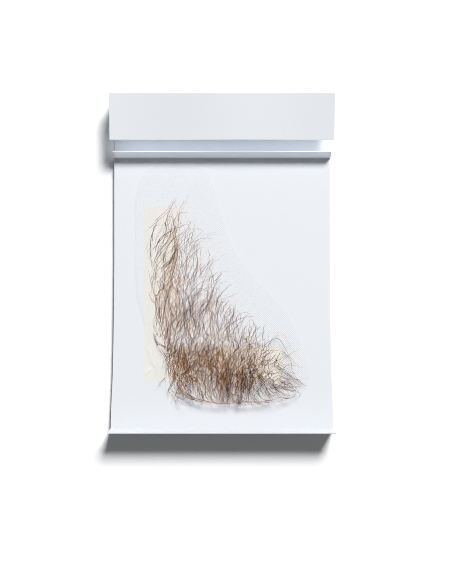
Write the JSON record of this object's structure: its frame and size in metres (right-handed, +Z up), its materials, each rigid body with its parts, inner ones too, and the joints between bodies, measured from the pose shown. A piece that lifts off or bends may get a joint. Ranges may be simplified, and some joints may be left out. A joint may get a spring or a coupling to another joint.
{
  "type": "false sideburn on a display card",
  "caption": "Boot-shaped false sideburn of hair knotted on sheer lace, held by strips of tape on a folded white display card with a header flap, a lip and an upright foot.",
  "frame": {"origin": "on the surface that the card lies on, under the middle of the card", "axes": "+X to the right across the card, +Y along the card towards its header flap, +Z up out of the hair"},
  "size_m": [0.1198, 0.1786, 0.0174],
  "materials": {
    "card": "matte",
    "tape": "matte",
    "lace": "matte",
    "hair": "satin"
  },
  "bodies": {
    "root": {"display_card": "card", "tape_upright": "tape", "tape_cross": "tape", "lace_base": "lace", "hair": "hair"}
  },
  "joints": []
}
